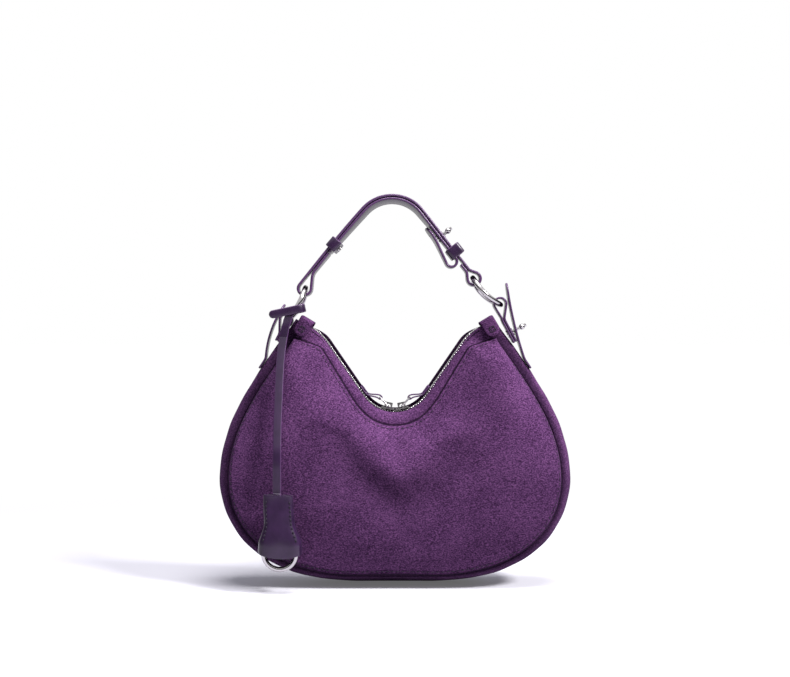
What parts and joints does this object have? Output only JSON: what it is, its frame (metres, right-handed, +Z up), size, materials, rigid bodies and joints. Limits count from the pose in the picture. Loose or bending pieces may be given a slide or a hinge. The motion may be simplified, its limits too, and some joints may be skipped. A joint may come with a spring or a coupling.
{
  "type": "half moon handbag",
  "caption": "Half moon suede handbag with a zip mouth, a buckled leather handle on polished rings and a leather key bell hanging at one side",
  "frame": {"origin": "on the ground under the middle of the bag, where its flat base stands", "axes": "+X along the bag towards the end with the buckle, +Y from its front to its back, +Z up"},
  "size_m": [0.3, 0.0981, 0.334],
  "materials": {
    "suede": "napped suede, matt",
    "smooth_leather": "smooth leather, satin",
    "cloth": "woven cloth, matt",
    "polished_metal": "polished nickel"
  },
  "bodies": {
    "bag": {"front_panel": "suede", "back_panel": "suede", "side_band": "suede", "front_facing": "suede", "back_facing": "suede", "front_zip_tape": "cloth", "back_zip_tape": "cloth", "front_zip_teeth": "polished_metal", "back_zip_teeth": "polished_metal", "zip_end_stops": "polished_metal", "left_end_tab": "suede", "right_end_tab": "suede", "lining": "cloth", "slip_pocket": "cloth", "base_board": "cloth", "left_ring_tab": "smooth_leather", "right_ring_tab": "smooth_leather", "left_side_strap": "smooth_leather", "right_side_strap": "smooth_leather", "side_strap_stud": "polished_metal", "side_stud_screw": "polished_metal", "bell_loop": "smooth_leather"},
    "handle": {"handle_outer_strap": "smooth_leather", "handle_inner_strap": "smooth_leather", "left_ring": "polished_metal", "right_ring": "polished_metal", "handle_stud": "polished_metal", "handle_stud_screw": "polished_metal"},
    "left_keeper": {"left_keeper": "smooth_leather", "left_keeper_rivet": "polished_metal"},
    "right_keeper": {"right_keeper": "smooth_leather"},
    "left_slider": {"left_slider": "polished_metal"},
    "right_slider": {"right_slider": "polished_metal"},
    "left_pull": {"left_pull_link": "polished_metal", "left_pull": "smooth_leather"},
    "right_pull": {"right_pull_link": "polished_metal", "right_pull": "smooth_leather"},
    "bell_strap": {"bell_strap": "smooth_leather"},
    "bell": {"bell_front": "smooth_leather", "bell_back": "smooth_leather"},
    "key_ring": {"key_ring": "polished_metal"}
  },
  "joints": [
    {"name": "handle_swing", "type": "hinge", "parent": "bag", "child": "handle", "pos_m": [0, 0, 0.23415], "axis": [0.9973, 0, 0.0739], "range_deg": [-35, 35], "deforming": ["left_ring_tab", "right_ring_tab", "bell_loop"]},
    {"name": "left_keeper_slide", "type": "slide", "parent": "handle", "child": "left_keeper", "axis": [0.6509, 0, 0.7592], "range_m": [-0.002, 0.006]},
    {"name": "right_keeper_slide", "type": "slide", "parent": "handle", "child": "right_keeper", "axis": [-0.6223, 0, 0.7828], "range_m": [0, 0.006]},
    {"name": "left_slider_travel", "type": "hinge", "parent": "bag", "child": "left_slider", "pos_m": [0, 0, 0.181], "axis": [0, 1, 0], "range_deg": [0, 25]},
    {"name": "right_slider_travel", "type": "hinge", "parent": "bag", "child": "right_slider", "pos_m": [0, 0, 0.181], "axis": [0, -1, 0], "range_deg": [0, 25]},
    {"name": "left_pull_flip", "type": "hinge", "parent": "left_slider", "child": "left_pull", "pos_m": [-0.00577, 0, 0.15304], "axis": [0, 1, 0], "range_deg": [0, 40]},
    {"name": "right_pull_flip", "type": "hinge", "parent": "right_slider", "child": "right_pull", "pos_m": [0.00577, 0, 0.15304], "axis": [0, -1, 0], "range_deg": [0, 40]},
    {"name": "bell_strap_swing", "type": "hinge", "parent": "bag", "child": "bell_strap", "pos_m": [-0.08905, -0.02064, 0.212], "axis": [0.9994, 0, -0.0349], "range_deg": [-60, 0]},
    {"name": "bell_slide", "type": "slide", "parent": "bell_strap", "child": "bell", "axis": [0.0349, 0, 0.9994], "range_m": [0, 0.018]},
    {"name": "key_ring_swing", "type": "hinge", "parent": "bell_strap", "child": "key_ring", "pos_m": [-0.09483, -0.05026, 0.04642], "axis": [0.9994, 0, -0.0349], "range_deg": [-4, 4]}
  ]
}
